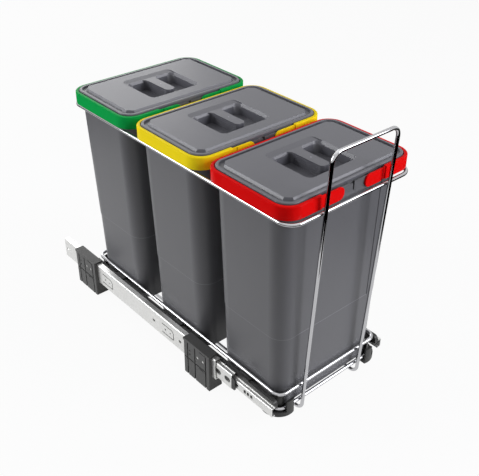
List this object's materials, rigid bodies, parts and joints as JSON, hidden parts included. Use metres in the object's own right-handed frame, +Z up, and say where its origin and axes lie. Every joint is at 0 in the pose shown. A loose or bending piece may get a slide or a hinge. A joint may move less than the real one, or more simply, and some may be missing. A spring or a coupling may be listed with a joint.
{
  "type": "pull out bin frame",
  "caption": "Pull-out waste frame: a chromed wire basket on full-extension ball slides that carries lift-out bins with coloured liner rings and lids.",
  "frame": {"origin": "on the cabinet floor, midway between the slides and midway along the frame as it stands partly pulled out", "axes": "+X to the right seen from the front, +Y to the back of the cabinet, +Z up; the basket pulls out along -Y"},
  "size_m": [0.2328, 0.533, 0.4068],
  "materials": {
    "slide_steel": "zinc-plated sheet steel",
    "bearing_steel": "ground and polished balls",
    "cage_steel": "zinc-plated strip",
    "screw_steel": "zinc-plated",
    "chrome_wire": "bright chrome on drawn wire",
    "bracket_plastic": "moulded anthracite",
    "black_plastic": "moulded black, satin",
    "bin_plastic": "moulded anthracite, satin",
    "lid_plastic": "moulded grey, satin",
    "ring_red": "semi-gloss red",
    "ring_yellow": "semi-gloss yellow",
    "ring_green": "semi-gloss green"
  },
  "bodies": {
    "cabinet_side": {"outer_member_left": "slide_steel", "bracket_front_left": "bracket_plastic", "bracket_rear_left": "bracket_plastic", "slide_screws_left": "screw_steel", "outer_member_right": "slide_steel", "bracket_front_right": "bracket_plastic", "bracket_rear_right": "bracket_plastic", "slide_screws_right": "screw_steel"},
    "basket": {"top_ring": "chrome_wire", "upper_base_ring": "chrome_wire", "lower_base_ring": "chrome_wire", "handle_loop": "chrome_wire", "rear_post_left": "chrome_wire", "adapter_rail_left": "black_plastic", "inner_member_left": "slide_steel", "rail_pins_left": "screw_steel", "corner_clip_front_left": "black_plastic", "corner_clip_rear_left": "black_plastic", "rear_post_right": "chrome_wire", "adapter_rail_right": "black_plastic", "inner_member_right": "slide_steel", "rail_pins_right": "screw_steel", "corner_clip_front_right": "black_plastic", "corner_clip_rear_right": "black_plastic"},
    "mid_slide_left": {"mid_member_left": "slide_steel", "mid_buffer_left": "black_plastic"},
    "outer_bearing_left": {"outer_cage_left": "cage_steel", "outer_balls_left": "bearing_steel"},
    "inner_bearing_left": {"inner_cage_left": "cage_steel", "inner_balls_left": "bearing_steel"},
    "mid_slide_right": {"mid_member_right": "slide_steel", "mid_buffer_right": "black_plastic"},
    "outer_bearing_right": {"outer_cage_right": "cage_steel", "outer_balls_right": "bearing_steel"},
    "inner_bearing_right": {"inner_cage_right": "cage_steel", "inner_balls_right": "bearing_steel"},
    "waste_bin_front": {"bin_front": "bin_plastic"},
    "liner_ring_front": {"clamp_ring_front": "ring_red"},
    "bin_lid_front": {"lid_front": "lid_plastic"},
    "waste_bin_middle": {"bin_middle": "bin_plastic"},
    "liner_ring_middle": {"clamp_ring_middle": "ring_yellow"},
    "bin_lid_middle": {"lid_middle": "lid_plastic"},
    "waste_bin_rear": {"bin_rear": "bin_plastic"},
    "liner_ring_rear": {"clamp_ring_rear": "ring_green"},
    "bin_lid_rear": {"lid_rear": "lid_plastic"}
  },
  "joints": [
    {"name": "pull_out", "type": "slide", "parent": "cabinet_side", "child": "basket", "axis": [0, -1, 0], "range_m": [-0.109, 0.29]},
    {"name": "mid_travel_left", "type": "slide", "parent": "cabinet_side", "child": "mid_slide_left", "axis": [0, -1, 0], "range_m": [-0.0545, 0.145]},
    {"name": "outer_bearing_travel_left", "type": "slide", "parent": "cabinet_side", "child": "outer_bearing_left", "axis": [0, -1, 0], "range_m": [-0.02725, 0.0725]},
    {"name": "inner_bearing_travel_left", "type": "slide", "parent": "cabinet_side", "child": "inner_bearing_left", "axis": [0, -1, 0], "range_m": [-0.08175, 0.2175]},
    {"name": "mid_travel_right", "type": "slide", "parent": "cabinet_side", "child": "mid_slide_right", "axis": [0, -1, 0], "range_m": [-0.0545, 0.145]},
    {"name": "outer_bearing_travel_right", "type": "slide", "parent": "cabinet_side", "child": "outer_bearing_right", "axis": [0, -1, 0], "range_m": [-0.02725, 0.0725]},
    {"name": "inner_bearing_travel_right", "type": "slide", "parent": "cabinet_side", "child": "inner_bearing_right", "axis": [0, -1, 0], "range_m": [-0.08175, 0.2175]},
    {"name": "bin_lift_front", "type": "slide", "parent": "basket", "child": "waste_bin_front", "axis": [0, 0, 1], "range_m": [0, 0.35]},
    {"name": "ring_lift_front", "type": "slide", "parent": "waste_bin_front", "child": "liner_ring_front", "axis": [0, 0, 1], "range_m": [0, 0.1]},
    {"name": "lid_lift_front", "type": "slide", "parent": "liner_ring_front", "child": "bin_lid_front", "axis": [0, 0, 1], "range_m": [0, 0.12]},
    {"name": "bin_lift_middle", "type": "slide", "parent": "basket", "child": "waste_bin_middle", "axis": [0, 0, 1], "range_m": [0, 0.35]},
    {"name": "ring_lift_middle", "type": "slide", "parent": "waste_bin_middle", "child": "liner_ring_middle", "axis": [0, 0, 1], "range_m": [0, 0.1]},
    {"name": "lid_lift_middle", "type": "slide", "parent": "liner_ring_middle", "child": "bin_lid_middle", "axis": [0, 0, 1], "range_m": [0, 0.12]},
    {"name": "bin_lift_rear", "type": "slide", "parent": "basket", "child": "waste_bin_rear", "axis": [0, 0, 1], "range_m": [0, 0.35]},
    {"name": "ring_lift_rear", "type": "slide", "parent": "waste_bin_rear", "child": "liner_ring_rear", "axis": [0, 0, 1], "range_m": [0, 0.1]},
    {"name": "lid_lift_rear", "type": "slide", "parent": "liner_ring_rear", "child": "bin_lid_rear", "axis": [0, 0, 1], "range_m": [0, 0.12]}
  ],
  "couplings": [
    {"joint": "mid_travel_left", "follows": "pull_out", "ratio": 0.5},
    {"joint": "outer_bearing_travel_left", "follows": "pull_out", "ratio": 0.25},
    {"joint": "inner_bearing_travel_left", "follows": "pull_out", "ratio": 0.75},
    {"joint": "mid_travel_right", "follows": "pull_out", "ratio": 0.5},
    {"joint": "outer_bearing_travel_right", "follows": "pull_out", "ratio": 0.25},
    {"joint": "inner_bearing_travel_right", "follows": "pull_out", "ratio": 0.75}
  ]
}
